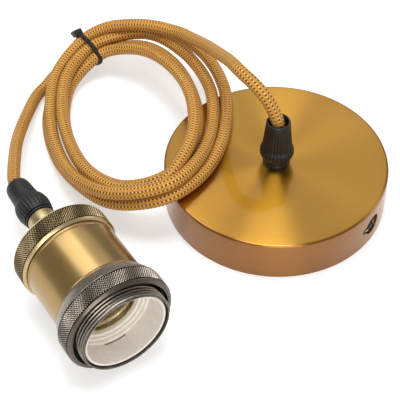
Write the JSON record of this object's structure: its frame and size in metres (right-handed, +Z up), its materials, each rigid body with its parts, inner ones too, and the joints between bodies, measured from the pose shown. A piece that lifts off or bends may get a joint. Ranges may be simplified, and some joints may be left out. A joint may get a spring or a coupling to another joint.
{
  "type": "pendant cord set",
  "caption": "Pendant cord set: round ceiling canopy, braided cord in a tied coil, and a metal lamp holder with a knurled shade ring and screw shell.",
  "frame": {"origin": "centre of the canopy's rim, on the ceiling face of its bracket", "axes": "+Z up out of the canopy's top, -Y out of the lamp holder's mouth"},
  "size_m": [0.1796, 0.1806, 0.0622],
  "materials": {
    "brushed_gold": "circular brushed antique gold",
    "satin_brass": "satin, drawn tube",
    "dark_bronze": "darkened, knurled",
    "gunmetal": "satin gunmetal",
    "contact_brass": "bright stamped brass",
    "zinc_steel": "zinc plated",
    "black_steel": "black oxide",
    "black_nylon": "moulded, matte",
    "white_ceramic": "white, glazed",
    "white_nylon": "moulded",
    "copper_braid": "braided textile sleeve",
    "live_brown": "wire insulation",
    "neutral_blue": "wire insulation",
    "earth_green": "wire insulation, striped"
  },
  "bodies": {
    "root": {"canopy": "brushed_gold", "ceiling_bracket": "zinc_steel", "side_screw_1": "black_steel", "side_screw_2": "black_steel", "earth_screw": "contact_brass", "grip_washer": "zinc_steel", "grip_lock_nut": "zinc_steel", "canopy_grip_base": "black_nylon", "canopy_grip_nut": "black_nylon", "terminal_block": "white_nylon", "terminal_screw_1": "contact_brass", "terminal_screw_2": "contact_brass", "terminal_screw_3": "contact_brass", "terminal_screw_4": "contact_brass", "cord_tail_canopy": "copper_braid", "canopy_live_core": "live_brown", "canopy_neutral_core": "neutral_blue", "canopy_earth_core": "earth_green", "shade_ring": "gunmetal", "threaded_sleeve": "gunmetal", "holder_body": "satin_brass", "holder_cap": "dark_bronze", "insulator": "white_ceramic", "screw_shell": "contact_brass", "centre_contact": "contact_brass", "contact_screw": "contact_brass", "live_terminal": "contact_brass", "live_screw": "zinc_steel", "neutral_terminal": "contact_brass", "neutral_screw": "zinc_steel", "holder_grip_base": "black_nylon", "holder_grip_nut": "black_nylon", "cord_tail_holder": "copper_braid", "holder_live_core": "live_brown", "holder_neutral_core": "neutral_blue", "holder_earth_core": "earth_green", "cord_canopy_run": "copper_braid", "cord_coil": "copper_braid", "cord_holder_run": "copper_braid", "cable_tie": "black_nylon"}
  },
  "joints": []
}
